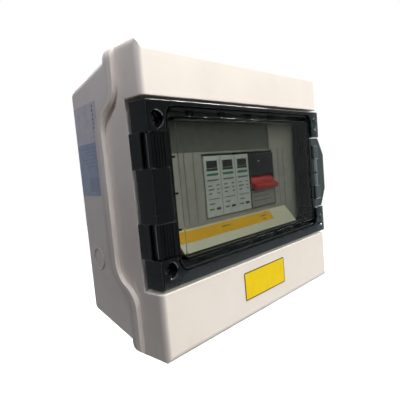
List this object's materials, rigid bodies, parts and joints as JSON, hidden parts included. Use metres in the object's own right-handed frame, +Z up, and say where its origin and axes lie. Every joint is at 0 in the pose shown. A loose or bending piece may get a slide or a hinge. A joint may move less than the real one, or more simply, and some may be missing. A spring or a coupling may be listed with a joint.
{
  "type": "solar dc combiner box",
  "caption": "Wall-mounted moulded DC combiner box with a smoked hinged window over a red-lever breaker and surge protection cartridges on a rail.",
  "frame": {"origin": "centre of the flat back face, between the four wall holes", "axes": "X to the right seen from the front, Y from the front towards the wall, Z up"},
  "size_m": [0.2245, 0.0995, 0.1982],
  "materials": {
    "shell": "fine satin off-white moulding",
    "smoked": "dark smoked translucent moulding, glossy",
    "seal": "soft black",
    "steel": "zinc plated",
    "screw_steel": "plated, dull",
    "brass": "plain",
    "device_black": "moulded",
    "toggle_red": "glossy moulded",
    "device_grey": "moulded",
    "device_white": "moulded",
    "blank_grey": "moulded",
    "holder_grey": "moulded"
  },
  "bodies": {
    "box": {"rear_base": "shell", "front_cover": "shell", "rim_seal": "seal", "window_frame": "smoked", "door_seal": "seal", "hinge_pin_upper": "steel", "hinge_pin_lower": "steel", "cover_screws": "steel", "cover_screw_seals": "seal", "boss_inserts": "brass", "din_rail": "steel", "din_rail_screws": "steel", "breaker_body": "device_black", "breaker_toggle_pin": "steel", "breaker_rail_clip": "device_grey", "breaker_terminal_screws": "screw_steel", "spd_base": "device_grey", "spd_cartridge_left": "device_white", "spd_cartridge_middle": "device_white", "spd_cartridge_right": "device_white", "spd_rail_clip": "device_grey", "spd_terminal_screws": "screw_steel", "blanking_strip_left": "blank_grey", "blanking_strip_right": "blank_grey", "earth_bar": "brass", "earth_bar_holder": "holder_grey", "earth_bar_screws": "screw_steel"},
    "window": {"window_door": "smoked"},
    "toggle": {"breaker_toggle": "toggle_red"}
  },
  "joints": [
    {"name": "window_hinge", "type": "hinge", "parent": "box", "child": "window", "pos_m": [-0.0989, -0.093, 0.005], "axis": [0, 0, -1], "range_deg": [0, 110]},
    {"name": "breaker_switch", "type": "hinge", "parent": "box", "child": "toggle", "pos_m": [0.027, -0.079, 0.003], "axis": [-1, 0, 0], "range_deg": [0, 48]}
  ]
}
